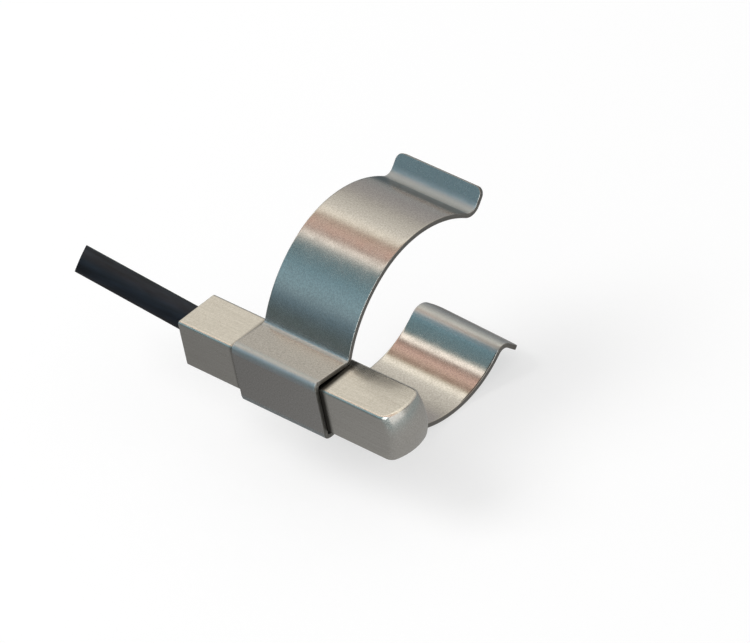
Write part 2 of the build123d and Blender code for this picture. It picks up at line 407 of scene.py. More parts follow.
@dataclass
class SpringClip:
    """The folded spring strip: a channel round the sleeve, two round arms and two lead-in lips.

    Attributes:
        sleeve_height, sleeve_depth: of the sleeve in the channel.
        upper, lower: the two arms, which were bent a little differently.
        thickness, width: of the strip.
        pipe_radius: inside radius of the arms where they grip.
        grip_start: angle where they are round from, in degrees from the mouth's middle.
        grip_past: how far past a lip's angle they are round.
        shoulder_radius: inside radius of the flatter stretch next to the channel.
        shoulder_flat, crease_flat: straights on both sides of that stretch.
        lip_corner: rounding of the lips' corners.
        mouth_bend, crease_bend, channel_bend: inside radii of the folds.
        lean: how far the channel's walls lean in, in degrees.
        edge: rounding of the sheared edges.
        section_steps: steps along half an edge, round a corner and along half a face.
        twist_from, twist_to: where the twist grows, in millimetres from the front wall's middle.
        flare: widening of the strip inside a tight fold.
        flare_reach: how far in from the strip's sides that widening reaches.
        tight: a fold of a smaller radius than this is a tight one.
        worked_reach: how far past a tight fold its dulling and its painted highlight reach.
        hollow_length, hollow_fade: stretch of the arm's outside before a lip that is dulled and darkened by a
            painted reflection, and its fading.
        lip_dulling_and_shade: how dull the lips are next to it, and how strong the painted dark reflection on
            them is.
    """

    sleeve_height: float
    sleeve_depth: float
    upper: Arm = Arm(mouth=48.05, reach=16.87, twist=0.0)
    lower: Arm = Arm(mouth=45.16, reach=16.92, twist=0.026)
    thickness: float = 0.6
    width: float = 14.0
    pipe_radius: float = 13.0
    grip_start: float = 118.0
    grip_past: float = 6.4
    shoulder_radius: float = 17.5
    shoulder_flat: float = 0.05
    crease_flat: float = 0.1146
    lip_corner: float = 1.05
    mouth_bend: float = 1.2
    crease_bend: float = 0.4
    channel_bend: float = 0.2
    lean: float = 4.0
    edge: float = 0.1
    section_steps: tuple[int, int, int] = (3, 4, 24)
    twist_from: float = 12.0
    twist_to: float = 25.0
    flare: float = 0.05
    flare_reach: float = 1.5
    tight: float = 3.0
    worked_reach: float = 0.5
    hollow_length: float = 1.5
    hollow_fade: float = 1.3
    lip_dulling_and_shade: float = 0.5

    def half_line(self, arm: Arm) -> np.ndarray:
        """Corners of the middle line of one half of the strip, from the front wall to the lip's end.

        The flatter stretch is an arc that touches the grip's arc. It ends where its slope brings it
        to the crease, which stands one bend radius over the sleeve's edge: the sine of that slope,
        times the arc's reach to the crease's middle, is the crease's height over the arc's middle.

        Args:
            arm: the arm at this half's end.

        Returns:
            The corners, rows of 2.
        """
        half = self.thickness / 2
        distance = self.pipe_radius + half
        along = direction(self.grip_start + 90)
        middle = direction(self.grip_start) * (self.pipe_radius - self.shoulder_radius)
        middle = middle + along * self.shoulder_flat
        crease_z = self.sleeve_height / 2 + self.crease_bend + self.thickness
        reach = self.shoulder_radius + self.thickness + self.crease_bend
        sine = (crease_z - middle[1]) / math.hypot(reach, self.crease_flat)
        slope = 180 - math.degrees(math.asin(sine) + math.atan2(self.crease_flat, reach))
        run = (self.shoulder_radius + half) * math.tan(math.radians(slope - self.grip_start) / 2)
        shoulder = direction(self.grip_start) * distance + along * (run + self.shoulder_flat)
        facing = direction(slope)
        shoulder_distance = float(shoulder @ facing)
        crease_y = (shoulder_distance + half + self.crease_bend - crease_z * facing[1]) / facing[0]
        wall = 90 - self.lean
        wall_distance = float(direction(wall) @ (crease_y, crease_z)) - self.crease_bend - half
        grip_end = arm.mouth + self.grip_past
        return np.array([
            meet(180, self.sleeve_depth + distance, wall, wall_distance),
            meet(wall, wall_distance, slope, shoulder_distance),
            shoulder,
            meet(self.grip_start, distance, grip_end, distance),
            meet(grip_end, distance, arm.mouth + 90, 0),
            direction(arm.mouth) * arm.reach,
        ])

    def line(self) -> BentLine:
        """Middle line of the strip in the plane across the pipe, from the lower lip to the upper.

        Returns:
            The line, whose radii are the folds' inside radii and half the thickness.
        """
        folds = (self.channel_bend, self.crease_bend)
        curves = (self.shoulder_radius, self.pipe_radius, self.mouth_bend)
        radii = np.array(folds + curves) + self.thickness / 2
        lower = self.half_line(self.lower)[::-1] * (1, -1)
        corners = np.concatenate([lower, self.half_line(self.upper)])
        return BentLine(corners, np.concatenate([radii[::-1], radii]))

    def sheet(self) -> Sheet:
        """Surface of the strip: a rounded rectangle carried along the bent line.

        The rectangle narrows as a quarter circle at the lips' corners and thins as one at their
        ends. Inside a tight fold the strip is a little wider, and outside it a little narrower: a
        point near a side moves by twice the flare times the bend times its place through the strip.
        Each point moves out by its arm's twist times its place across, times a smooth step of how
        far along the arm it is.

        Returns:
            The surface, with its marks.
        """
        line = self.line()
        along = line.stations(coarse=0.3, fine=0.03, sharpness=0.07)
        centre, normal = line.at(along)
        loop = rounded_loop(self.width, self.thickness, self.edge, self.section_steps)
        end = np.minimum(along, line.length - along)
        across = 1 - 2 * round_off(end, self.lip_corner) / self.width
        through = 1 - 2 * round_off(end, self.edge) / self.thickness
        x = loop[None, :, 0] * across[:, None]
        out = loop[None, :, 1] * through[:, None]
        bend = np.interp(along, line.along, np.gradient(line.heading, line.along))
        bend = np.clip(bend, -1 / self.crease_bend, 1 / self.crease_bend)
        pinch = bend[:, None] * out * 2 * self.flare
        near_side = ease((np.abs(x) - self.width / 2 + self.flare_reach) / self.flare_reach)
        x = x + np.sign(x) * pinch * near_side
        from_middle = along - line.length / 2
        twist = np.where(from_middle > 0, self.upper.twist, self.lower.twist)
        grown = ease((np.abs(from_middle) - self.twist_from) / (self.twist_to - self.twist_from))
        out = out + (twist * grown)[:, None] * x
        place = centre[:, None, :] + normal[:, None, :] * out[..., None]
        points = np.concatenate([x[..., None], place], axis=-1)
        return Sheet(points, along, loop_distance(loop), self.marks(line, along, loop))

    def marks(self, line: BentLine, along: np.ndarray, loop: np.ndarray) -> dict[str, np.ndarray]:
        """What the finish reads: outer face, sheared side, tight folds and the stretches by the lips, which
        also carry painted light: a highlight in the folds and a dark reflection by the lips.

        A fold's mark is a smooth step down over its reach, and a lip stretch's one over its fade.

        Args:
            line: the strip's middle line.
            along: distances of the rows.
            loop: the strip's section.

        Returns:
            Rows by columns of values from 0 to 1, by name.
        """
        tight = line.along[np.abs(np.gradient(line.heading, line.along)) > 1 / self.tight]
        from_fold = np.abs(along[:, None] - tight[None, :]).min(axis=1)
        lip_ends = tight[tight < line.length / 4].max(), tight[tight > line.length * 3 / 4].min()
        from_lip = np.minimum(np.abs(along - lip_ends[0]), np.abs(along - lip_ends[1]))
        within_arms = (along > lip_ends[0]) & (along < lip_ends[1])
        before_lip = ease((self.hollow_length + self.hollow_fade - from_lip) / self.hollow_fade)
        on_lip = ease((from_lip - self.worked_reach) / self.worked_reach) * self.lip_dulling_and_shade
        # Dulled stretch before each lip, and the lips at part strength; the finish also paints a dark
        # reflection there.
        hollow_dull_and_shade = np.where(within_arms, before_lip, on_lip)
        outer = (loop[:, 1] > 0).astype(float)
        sheared = (np.abs(loop[:, 0]) > self.width / 2 - self.edge / 2).astype(float)
        # Tight folds: dulled, and given a pale painted highlight by the finish.
        worked_and_highlight = ease(1 - from_fold / self.worked_reach)
        everywhere = np.ones((len(along), len(loop)))
        return {
            "outer": everywhere * outer,
            "sheared": everywhere * sheared,
            "worked_and_highlight": everywhere * worked_and_highlight[:, None],
            "hollow_dull_and_shade": hollow_dull_and_shade[:, None] * outer[None, :],
        }

    def build(self, finish: Material) -> Piece:
        """Makes the strip, which stands for the clip's solid.

        Args:
            finish: its material.

        Returns:
            The strip.
        """
        strip = shell_object("folded_strip", self.sheet())
        strip.data.materials.append(finish)
        return seat(strip, stands_for="spring_clip")


def seat(piece: Piece, stands_for: str) -> Piece:
    """Puts a new piece on the part's one body, in place of the solid that it stands for.

    Args:
        piece: the new piece.
        stands_for: the solid's name.

    Returns:
        The piece.
    """
    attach(piece, "root")
    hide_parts(stands_for)
    LOG.info("%s: %d faces, for %s", piece.name, len(piece.data.polygons), stands_for)
    return piece


def dress(node: str, material: Material) -> None:
    """Gives a solid its material through its material slots.

    Args:
        node: the solid's name.
        material: its material.
    """
    for slot in frame["nodes"][node].material_slots:
        slot.material = material
    LOG.info("%s: %s", node, material.name)


def add(tree: Tree, kind: str, inputs: dict | None = None, **settings: object) -> bpy.types.Node:
    """Adds a node with its settings, values and links.

    Args:
        tree: the node tree.
        kind: the node's type.
        inputs: values, output sockets, or nodes for their first output, by input name or number.
        settings: the node's own properties.

    Returns:
        The new node.
    """
    node = tree.nodes.new(kind)
    for name, value in settings.items():
        setattr(node, name, value)
    for name, value in (inputs or {}).items():
        source = value.outputs[0] if isinstance(value, bpy.types.Node) else value
        if isinstance(source, Socket):
            tree.links.new(source, node.inputs[name])
        else:
            node.inputs[name].default_value = source
    return node


def new_tree(name: str) -> tuple[Material, Tree]:
    """Makes a material with an empty node tree.

    Args:
        name: the material's name.

    Returns:
        The material and its tree.
    """
    material = bpy.data.materials.new(name)
    material.use_nodes = True
    material.node_tree.nodes.clear()
    return material, material.node_tree


def noise(
    tree: Tree,
    size: float,
    detail: float = 2.0,
    stretch: Sequence[float] = (1, 1, 1),
    place: Socket | None = None,
) -> Socket:
    """Noise in the object's own space, or on another place in metres.

    Args:
        tree: the node tree.
        size: size of a grain, in millimetres.
        detail: how many finer layers it has.
        stretch: how many times longer a grain is along each axis.
        place: the place to read it at, or None for the object's own space.

    Returns:
        The noise, about 0.5 on average.
    """
    if place is None:
        place = add(tree, "ShaderNodeTexCoord").outputs["Object"]
    scale = tuple(1 / (size * MM * times) for times in stretch)
    mapped = add(tree, "ShaderNodeMapping", {"Vector": place, "Scale": scale})
    values = {"Vector": mapped, "Scale": 1.0, "Detail": detail}
    return add(tree, "ShaderNodeTexNoise", values).outputs["Fac"]


def spread_of(tree: Tree, source: Socket, low: float = 0.0, high: float = 1.0) -> Socket:
    """Turns noise into values from low to high, with its middle part stretched over the range."""
    values = {"Value": source, **NOISE_MIDDLE, "To Min": low, "To Max": high}
    return add(tree, "ShaderNodeMapRange", values).outputs[0]


def blend(tree: Tree, first: str, *coats: tuple[Socket, str]) -> Socket:
    """Lays coats of colour over a first colour, each mixed in by its share.

    Args:
        tree: the node tree.
        first: the colour under all coats.
        coats: share from 0 to 1 and colour of each coat, the lowest first.

    Returns:
        The colour.
    """
    colour = linear(first)
    for share, second in coats:
        mixed = add(tree, "ShaderNodeMix", {0: share, 6: colour, 7: linear(second)}, data_type="RGBA")
        colour = mixed.outputs[2]
    return colour


def relief(tree: Tree, *layers: tuple[Socket, float]) -> Socket:
    """Raises a surface by layers, one over another: each is a height times a depth.

    Args:
        tree: the node tree.
        layers: height from 0 to 1 and depth in millimetres of each layer, the lowest first.

    Returns:
        The surface's normal.
    """
    under: dict[str, Socket] = {}
    for height, depth in layers:
        values = {"Height": height, "Distance": depth * MM, "Strength": 1.0, **under}
        under = {"Normal": add(tree, "ShaderNodeBump", values).outputs[0]}
    return under["Normal"]


def mark(tree: Tree, name: str, amount: float = 1.0) -> Socket:
    """Reads one of a piece's marks, times an amount."""
    value = add(tree, "ShaderNodeAttribute", attribute_name=name).outputs["Fac"]
    return add(tree, "ShaderNodeMath", {0: value, 1: amount}, operation="MULTIPLY").outputs[0]


def total(tree: Tree, *values: Socket) -> Socket:
    """Adds up values.

    Args:
        tree: the node tree.
        values: what to add up.

    Returns:
        Their sum.
    """
    result = values[0]
    for value in values[1:]:
        result = add(tree, "ShaderNodeMath", {0: result, 1: value}).outputs[0]
    return result


def surface(tree: Tree, values: dict) -> None:
    """Ends a tree with the main surface shader."""
    shader = add(tree, "ShaderNodeBsdfPrincipled", values)
    add(tree, "ShaderNodeOutputMaterial", {"Surface": shader})


@dataclass(frozen=True)
class RolledSpringSteel:
    """Stainless spring strip, cold rolled and left bright.

    The rolls leave a fine grain, drawn here 0.2 mm wide so that it shows, and faint lines along
    the strip. The face that is outside in the fold is rubbed duller than the inner one. Folding
    dulls the metal in the tight folds and in the stretch before a lip, and shearing leaves the
    strip's sides dark and rough. The colour also paints light: a pale blue painted highlight in the
    tight folds, and a darker painted reflection before each lip and, at half strength, on the lips.
    """

    light: str = "#D0CECA"
    dark: str = "#B9B6B2"
    # Painted shade: colour of a darker painted reflection before each lip and on the lips.
    hollow_dull_and_shade: str = "#7C868A"
    # Painted highlight: pale blue colour painted into the tight folds, and its share.
    worked_and_highlight: str = "#BAC5CB"
    painted_highlight_share: float = 0.5
    sheared: str = "#8E8B86"
    roughness: float = 0.14
    uneven: float = 0.03
    outer_extra: float = 0.07
    worked_extra: float = 0.24
    hollow_extra: float = 0.12
    sheared_extra: float = 0.2
    patch: float = 1.7
    grain: float = 0.2
    grain_depth: float = 0.0014
    line_width: float = 0.12
    line_stretch: tuple[float, float, float] = (50.0, 1.0, 1.0)
    line_depth: float = 0.0004
    ripple: float = 3.0
    ripple_depth: float = 0.003

    def build(self) -> Material:
        """Makes the material.

        Returns:
            The material, for a piece with the strip's texture map and marks.
        """
        material, tree = new_tree("rolled_spring_steel")
        along_strip = add(tree, "ShaderNodeUVMap", uv_map=TEXTURE_MAP).outputs["UV"]
        grain = noise(tree, self.grain)
        lines = noise(tree, self.line_width, stretch=self.line_stretch, place=along_strip)
        patches = noise(tree, self.patch, 3.0)
        roughness = total(
            tree,
            spread_of(tree, patches, self.roughness - self.uneven, self.roughness + self.uneven),
            mark(tree, "outer", self.outer_extra),
            mark(tree, "worked_and_highlight", self.worked_extra),
            mark(tree, "hollow_dull_and_shade", self.hollow_extra),
            mark(tree, "sheared", self.sheared_extra),
        )
        colour = blend(
            tree,
            self.light,
            (spread_of(tree, grain), self.dark),
            # Painted reflection: darkens the stretch before each lip and the lips.
            (mark(tree, "hollow_dull_and_shade"), self.hollow_dull_and_shade),
            # Painted highlight: a pale blue tint in the tight folds.
            (mark(tree, "worked_and_highlight", self.painted_highlight_share), self.worked_and_highlight),
            (mark(tree, "sheared"), self.sheared),
        )
        normal = relief(
            tree,
            (noise(tree, self.ripple, 1.0), self.ripple_depth),
            (lines, self.line_depth),
            (grain, self.grain_depth),
        )
        surface(tree, {"Base Color": colour, "Metallic": 1.0, "Roughness": roughness, "Normal": normal})
        return material


@dataclass(frozen=True)
class DrawnPlatedSleeve:
    """Drawn sleeve with a dull nickel plate, paler and warmer than the clip.

    The drawing die leaves shallow lines along the sleeve, and the plate a fine grain, drawn here
    0.2 mm wide so that it shows. A dark painted shade lies along the clip's two edges, on the three
    sides that the clip covers: a painted contact shadow where the clip meets the sleeve. Each pair
    of limits gives where its share is 0 and where it is full, in millimetres: beside the clip and
    under it from the clip's middle, and towards the pipe's side.
    """

    light: str = "#E7E4DD"
    dark: str = "#D0CCC4"
    grain_tint: float = 0.6
    line_tint: float = 0.4
    # Painted shade: dark colour of the painted contact shadow along the clip's edges, and where it lies.
    painted_shade: str = "#34322F"
    painted_shade_most: float = 0.85
    painted_shade_beside: tuple[float, float] = (8.15, 7.5)
    painted_shade_under: tuple[float, float] = (6.1, 6.8)
    painted_shade_pipe_side: tuple[float, float] = (-13.05, -13.35)
    roughness: float = 0.24
    uneven: float = 0.04
    patch: float = 1.9
    grain: float = 0.2
    grain_depth: float = 0.0014
    line_width: float = 0.16
    line_stretch: tuple[float, float, float] = (40.0, 1.0, 1.0)
    line_depth: float = 0.0007
    ripple: float = 3.5
    ripple_depth: float = 0.006

    def painted_shade_share(self, tree: Tree) -> Socket:
        """Share of the painted shade by the clip's edges: the most of it, times three even slopes over the
        place on the sleeve.

        Args:
            tree: the node tree.

        Returns:
            The share, from 0 to 1.
        """
        place = add(tree, "ShaderNodeTexCoord").outputs["Object"]
        axes = add(tree, "ShaderNodeSeparateXYZ", {"Vector": place})
        along = add(tree, "ShaderNodeMath", {0: axes.outputs["X"]}, operation="ABSOLUTE")
        share: float | bpy.types.Node = self.painted_shade_most
        for source, (clean, full) in (
            (along, self.painted_shade_beside),
            (along, self.painted_shade_under),
            (axes.outputs["Y"], self.painted_shade_pipe_side),
        ):
            values = {"Value": source, "From Min": clean * MM, "From Max": full * MM}
            slope = add(tree, "ShaderNodeMapRange", values)
            share = add(tree, "ShaderNodeMath", {0: share, 1: slope}, operation="MULTIPLY")
        return share.outputs[0]

    def build(self) -> Material:
        """Makes the material.

        Returns:
            The material.
        """
        material, tree = new_tree("drawn_nickel_plate")
        patches = noise(tree, self.patch, 3.0)
        grain = noise(tree, self.grain)
        lines = noise(tree, self.line_width, stretch=self.line_stretch)
        grains = spread_of(tree, grain, high=self.grain_tint)
        streaks = spread_of(tree, lines, high=self.line_tint)
        values = {
            "Base Color": blend(
                tree,
                self.light,
                (total(tree, grains, streaks), self.dark),
                # Painted shade: darkens the sleeve along the clip's edges, as a contact shadow.
                (self.painted_shade_share(tree), self.painted_shade),
            ),
            "Metallic": 1.0,
            "Roughness": spread_of(tree, patches, self.roughness - self.uneven, self.roughness + self.uneven),
            "Normal": relief(
                tree,
                (noise(tree, self.ripple, 1.0), self.ripple_depth),
                (lines, self.line_depth),
                (grain, self.grain_depth),
            ),
        }
        surface(tree, values)
        return material


@dataclass(frozen=True)
class InnerFinish:
    """Plastic, resin, ceramic or glaze: a body colour with faint patches and a fine grain.

    Attributes:
        name: the material's name.
        light, dark: its two tones.
        roughness: of its surface.
        uneven: how far the roughness goes up and down.
        patch: size of its patches, in millimetres.
        grain: size of its grain, in millimetres.
        grain_depth: height of its grain, in millimetres.
        ior: how strongly it mirrors.
        clear: share of light that passes through it.
        metallic: 1 for a metal.
    """

    name: str
    light: str
    dark: str
    roughness: float
    uneven: float = 0.05
    patch: float = 1.5
    grain: float = 0.2
    grain_depth: float = 0.004
    ior: float = 1.5
    clear: float = 0.0
    metallic: float = 0.0

    def build(self) -> Material:
        """Makes the material.

        Returns:
            The material.
        """
        material, tree = new_tree(self.name)
        patches = noise(tree, self.patch, 3.0)
        values = {
            "Base Color": blend(tree, self.light, (spread_of(tree, patches), self.dark)),
            "Metallic": self.metallic,
            "Roughness": spread_of(tree, patches, self.roughness - self.uneven, self.roughness + self.uneven),
            "IOR": self.ior,
            "Transmission Weight": self.clear,
            "Normal": relief(tree, (noise(tree, self.grain), self.grain_depth)),
        }
        surface(tree, values)
        return material


@dataclass(frozen=True)
class BareMetal(InnerFinish):
    """Bare metal: a wire, a film or solder, with faint patches and a fine grain."""

    patch: float = 0.6
    grain: float = 0.08
    grain_depth: float = 0.002
    metallic: float = 1.0


@dataclass(frozen=True)
class ExtrudedJacket:
    """Soft PVC of the cable's jacket, extruded: matt, near black with a cast of blue.

    The die leaves shallow lines along the cable, and handling leaves faint paler streaks. Its IOR
    is under the 1.53 or so of PVC, matched to how little the photographed jacket mirrors.
    """

    light: str = "#171E28"
    dark: str = "#090B10"
    roughness: float = 0.48
    uneven: float = 0.07
    ior: float = 1.34
    streak: float = 0.8
    streak_stretch: tuple[float, float, float] = (7.0, 1.0, 1.0)
    line_width: float = 0.15
    line_stretch: tuple[float, float, float] = (60.0, 1.0, 1.0)
    line_depth: float = 0.003
    grain: float = 0.18
    grain_depth: float = 0.005

    def build(self) -> Material:
        """Makes the material.

        Returns:
            The material.
        """
        material, tree = new_tree("soft_pvc_jacket")
        streaks = noise(tree, self.streak, 3.0, self.streak_stretch)
        lines = noise(tree, self.line_width, stretch=self.line_stretch)
        grain = noise(tree, self.grain)
        values = {
            "Base Color": blend(tree, self.light, (spread_of(tree, streaks), self.dark)),
            "Roughness": spread_of(tree, streaks, self.roughness - self.uneven, self.roughness + self.uneven),
            "IOR": self.ior,
            "Normal": relief(tree, (lines, self.line_depth), (grain, self.grain_depth)),
        }
        surface(tree, values)
        return material


@dataclass
class InnerParts:
    """What the sleeve and the cable hold: solids that keep their shape and get their finishes here."""

    def finishes(self) -> dict[str, InnerFinish]:
        """Finish of each solid.

        Returns:
            The finishes by the solids' names.
        """
        copper = BareMetal("drawn_copper_strand", "#D08A5E", "#B9744C", 0.3)
        wire = BareMetal("nickel_clad_wire", "#CFCBC2", "#BEB9AF", 0.28)
        solder = BareMetal("dull_tin_solder", "#C3C5C6", "#A9ACAE", 0.38, grain_depth=0.004)
        film = BareMetal("fired_platinum_film", "#D3CFC6", "#C2BEB5", 0.3, grain=0.04, grain_depth=0.001)
        sleeving = InnerFinish("shrunk_polyolefin", "#23262A", "#17191C", 0.45)
        potting = InnerFinish("black_epoxy_potting", "#26282A", "#191A1C", 0.3, grain_depth=0.01)
        paste = InnerFinish("white_thermal_paste", "#D9DADB", "#C6C8CA", 0.6, grain_depth=0.012)
        glass = InnerFinish("milky_cover_glass", "#D5DDD8", "#C8D2CC", 0.15, ior=1.52, clear=0.35)
        made = {
            "core_insulation_a": InnerFinish("white_core_plastic", "#E9E8E3", "#DDDBD3", 0.4),
            "core_insulation_b": InnerFinish("red_core_plastic", "#B3282A", "#9C2022", 0.4),
            "potting_compound": potting,
            "thermal_filler": paste,
            "insulating_liner": InnerFinish("amber_polyimide_film", "#B9762B", "#A46420", 0.25),
            "sensing_element": InnerFinish("fired_alumina", "#EDEBE4", "#E1DED5", 0.5),
            "platinum_film": film,
            "cover_glass": glass,
            "lead_glaze": InnerFinish("green_lead_glaze", "#7F9A88", "#6F8B79", 0.2, ior=1.52),
        }
        for side in Side:
            made[f"conductor_{side.value}"] = copper
            made[f"element_lead_{side.value}"] = wire
            made[f"solder_joint_{side.value}"] = solder
            made[f"shrink_sleeve_{side.value}"] = sleeving
        return made

    def dress(self) -> None:
        """Gives each solid its material through its material slots."""
        built: dict[str, Material] = {}
        for node, finish in self.finishes().items():
            if finish.name not in built:
                built[finish.name] = finish.build()
            dress(node, built[finish.name])


@dataclass(frozen=True)
class Band:
    """One colour of what the metal mirrors.

    Attributes:
        angle: where it is, in degrees round the pipe's axis from the mouth over the top.
        colour: its colour.
        strength: its brightness.
    """

    angle: float
    colour: str
    strength: float = 1.0


@dataclass(frozen=True)
class Patch:
    """A card in the mirrored room.

    Attributes:
        angle: its middle, in degrees as a band's.
        x: cosine of its middle's direction along the pipe's axis.
        angle_size: half its size round the axis, in degrees.
        x_size: half its size along the axis, in room radii.
        colour: its colour.
        strength: its brightness.
    """

    angle: float
    x: float
    angle_size: float
    x_size: float
    colour: str
    strength: float = 1.0


@dataclass
class MirroredRoom:
    """What only mirror rays see: a wide tunnel of coloured cards round the pipe's axis, and the table.

    The photograph's metal mirrors the room that it was taken in, in bands that run along the pipe's
    axis on both arms. The tunnel has the same bands. Neither it nor the table lights anything.

    Attributes:
        floor_height: where the floor lies, in millimetres, as all sizes here.
        radius, half_length: of the tunnel.
        angle_step: between the tunnel's points round the axis, in degrees.
        x_steps: number of its points along the axis.
        patch_edge, patch_border: where a patch's border ends and how wide it is, in patch sizes.
        table_gap: from the floor to the table.
        table_rings, table_spokes: number of the table's rings and of its steps round.
        table_first_ring, table_reach: radius of its first ring and of its last.
        table_colour, table_far_colour: its glow near the pipe and far from it.
        table_near, table_far: the distances where the one begins to turn into the other, and is it.
        table_mean, table_swing: brightness, and how much more it is on the bright side.
        table_bright_side: direction of its bright side, in degrees from +X.
    """

    floor_height: float
    radius: float = 2000.0
    half_length: float = 5000.0
    angle_step: float = 0.5
    x_steps: int = 201
    patch_edge: float = 1.2
    patch_border: float = 0.5
    table_gap: float = 0.05
    table_rings: int = 60
    table_spokes: int = 96
    table_first_ring: float = 5.0
    table_reach: float = 5200.0
    table_colour: str = "#969696"
    table_far_colour: str = "#8E999C"
    table_near: float = 45.0
    table_far: float = 130.0
    table_mean: float = 0.88
    table_swing: float = 0.29
    table_bright_side: float = -5.0

    def bands(self) -> list[Band]:
        """The colours round the tunnel, from under the horizon at the mouth's side over the top.

        Returns:
            The bands, by rising angle.
        """
        return [
            Band(-14, "#A9ABA9"),
            Band(5, "#A8AAA9"),
            Band(15, "#AEABAA"),
            Band(30, "#BCB8B5"),
            Band(40, "#CFCAC1"),
            Band(50, "#E8E3D8"),
            Band(60, "#F6F0E5"),
            Band(66, "#FFFAEE", 1.05),
            Band(69, "#FFF8EA", 1.5),
            Band(72.5, "#FFF8EA", 1.5),
            Band(74.8, "#FFF6E4", 1.15),
            Band(76.8, "#D2BFA6"),
            Band(79, "#BA9C8C"),
            Band(82, "#C2A796"),
            Band(84.5, "#F2D0BD"),
            Band(90, "#F9D2C2"),
            Band(93, "#D6B3A3"),
            Band(96, "#B0968A"),
            Band(98.4, "#C9B8AC"),
            Band(100.2, "#FFF5EA", 1.8),
            Band(104, "#FFF5EA", 1.75),
            Band(106, "#EBECE2"),
            Band(107.5, "#9AA6A4"),
            Band(109.5, "#81999F"),
            Band(121, "#7F9DA7"),
            Band(127, "#88ADBA"),
            Band(134, "#9BBCC9"),
            Band(142, "#9FC0CB"),
            Band(147, "#9CB4BE"),
            Band(155, "#708A98"),
            Band(161, "#65767E"),
            Band(168, "#64706F"),
            Band(180, "#6B7578"),
            Band(200, "#5E6668"),
        ]

    def patches(self) -> list[Patch]:
        """What stands out of the bands past the sensor's closed end: a window and a dark doorway.

        Returns:
            The patches.
        """
        return [
            Patch(angle=139.0, x=0.55, angle_size=22.0, x_size=0.4, colour="#F4FCFF", strength=6.5),
            Patch(angle=35.0, x=0.78, angle_size=15.0, x_size=0.25, colour="#2A2C30"),
        ]

    def tunnel(self) -> Piece:
        """Half a cylinder round the pipe's axis, whose glow is interpolated between the bands.

        A patch replaces the bands where the angle and the place along the axis both lie within its
        size, with a soft border.

        Returns:
            The tunnel.
        """
        bands = self.bands()
        angle = np.arange(bands[0].angle, bands[-1].angle + self.angle_step, self.angle_step)
        x = np.linspace(-self.half_length, self.half_length, self.x_steps)
        turned = np.radians(angle)
        ring = np.stack([np.zeros_like(turned), np.cos(turned), np.sin(turned)], axis=-1) * self.radius
        points = ring[:, None, :] + x[None, :, None] * (1, 0, 0)
        stops = np.array([linear(b.colour, b.strength)[:3] for b in bands])
        place = [b.angle for b in bands]
        glow = np.stack([np.interp(angle, place, stops[:, i]) for i in range(3)], axis=-1)
        glow = np.repeat(glow[:, None, :], len(x), axis=1)
        for patch in self.patches():
            off_angle = ((angle - patch.angle) / patch.angle_size)[:, None]
            off_x = (x / self.radius - patch.x / math.sqrt(1 - patch.x**2))[None, :] / patch.x_size
            off = np.maximum(np.abs(off_angle), np.abs(off_x))
            share = ease((self.patch_edge - off) / self.patch_border)[..., None]
            glow = glow * (1 - share) + np.array(linear(patch.colour, patch.strength)[:3]) * share
        return self.glowing("mirrored_room", points, glow)

    def table(self) -> Piece:
        """A flat disc just over the floor, whose glow changes with the distance and the direction.

        It is a smooth step over the distance from the middle, times a mean plus a swing times the
        cosine of the direction from its bright side.

        Returns:
            The table.
        """
        rings = np.geomspace(self.table_first_ring, self.table_reach, self.table_rings)
        distance = np.concatenate([[0.0], rings])
        turn = np.linspace(0, 2 * math.pi, self.table_spokes + 1)
        flat = np.stack([np.cos(turn), np.sin(turn)], axis=-1)[None, :, :] * distance[:, None, None]
        height = np.full(flat.shape[:2] + (1,), self.floor_height + self.table_gap)
        points = np.concatenate([flat, height], axis=-1)
        far = ease((distance - self.table_near) / (self.table_far - self.table_near))[:, None, None]
        near_colour = np.array(linear(self.table_colour)[:3])
        far_colour = np.array(linear(self.table_far_colour)[:3])
        side = self.table_mean + self.table_swing * np.cos(turn - math.radians(self.table_bright_side))
        glow = (near_colour * (1 - far) + far_colour * far) * side[None, :, None]
        return self.glowing("mirrored_table", points, glow)

    def glowing(self, name: str, points: np.ndarray, glow: np.ndarray) -> Piece:
        """Makes a card of a grid of points with a glow at each, seen by mirror rays alone.

        Args:
            name: name of the card and its material.
            points: rows by columns by 3, in millimetres.
            glow: linear red, green and blue at each point.

        Returns:
            The card.
        """
        rows, columns = points.shape[:2]
        card = mesh_object(name, points, grid_faces(rows, columns))
        layer = card.data.color_attributes.new("glow", "FLOAT_COLOR", "POINT")
        alpha = np.ones((rows * columns, 1))
        layer.data.foreach_set("color", np.concatenate([glow.reshape(-1, 3), alpha], axis=1).ravel())
        material, tree = new_tree(name)
        colour = add(tree, "ShaderNodeAttribute", attribute_name="glow").outputs["Color"]
        light = add(tree, "ShaderNodeEmission", {"Color": colour, "Strength": 1.0})
        add(tree, "ShaderNodeOutputMaterial", {"Surface": light})
        card.data.materials.append(material)
        card.visible_camera = False
        card.visible_diffuse = False
        card.visible_shadow = False
        card.visible_transmission = False
        card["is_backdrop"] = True
        return card


